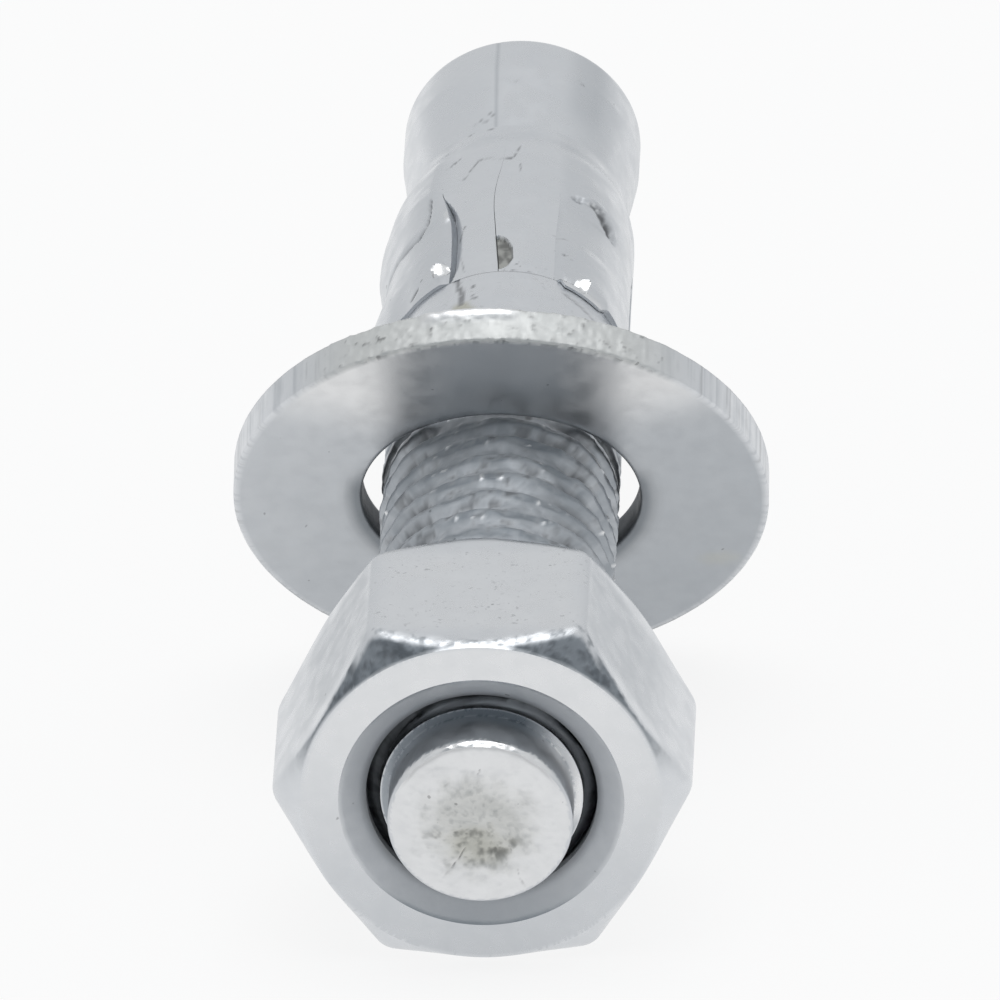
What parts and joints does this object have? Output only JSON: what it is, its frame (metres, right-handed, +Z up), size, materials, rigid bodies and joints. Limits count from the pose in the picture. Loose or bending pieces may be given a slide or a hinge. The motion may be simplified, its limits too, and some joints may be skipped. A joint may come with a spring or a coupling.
{
  "type": "wedge anchor",
  "caption": "Zinc plated stud anchor with cone end, split expansion clip, loose washer and hex nut, for fixing a plate to concrete.",
  "frame": {"origin": "on the surface the anchor lies on, below the middle of its bounding box", "axes": "+Y along the anchor from the nut to the cone end, +Z up; the stud's own axis rises 5.76 degrees towards the cone end, because the washer props it up"},
  "size_m": [0.0266, 0.0672, 0.024],
  "materials": {
    "body_plating": "bright zinc plating over cold formed steel, worn on the thread",
    "clip_plating": "bright zinc plating over pressed sheet steel",
    "washer_plating": "zinc plating over stamped steel, rough at the sheared rim",
    "nut_plating": "bright zinc plating, rough on the corner bevel"
  },
  "bodies": {
    "anchor_body": {"anchor_body": "body_plating"},
    "expansion_clip": {"expansion_clip": "clip_plating"},
    "washer": {"washer": "washer_plating"},
    "hex_nut": {"hex_nut": "nut_plating"}
  },
  "joints": [
    {"name": "nut_turn", "type": "hinge", "parent": "anchor_body", "child": "hex_nut", "pos_m": [0, -0.02611, 0.00946], "axis": [0, 0.9949, 0.1004], "continuous": true},
    {"name": "washer_slide", "type": "slide", "parent": "anchor_body", "child": "washer", "axis": [0, 0.9949, 0.1004], "range_m": [-0.0151, 0.0073]},
    {"name": "clip_turn", "type": "hinge", "parent": "anchor_body", "child": "expansion_clip", "pos_m": [0, 0.0175, 0.01386], "axis": [0, 0.9949, 0.1004], "continuous": true}
  ]
}
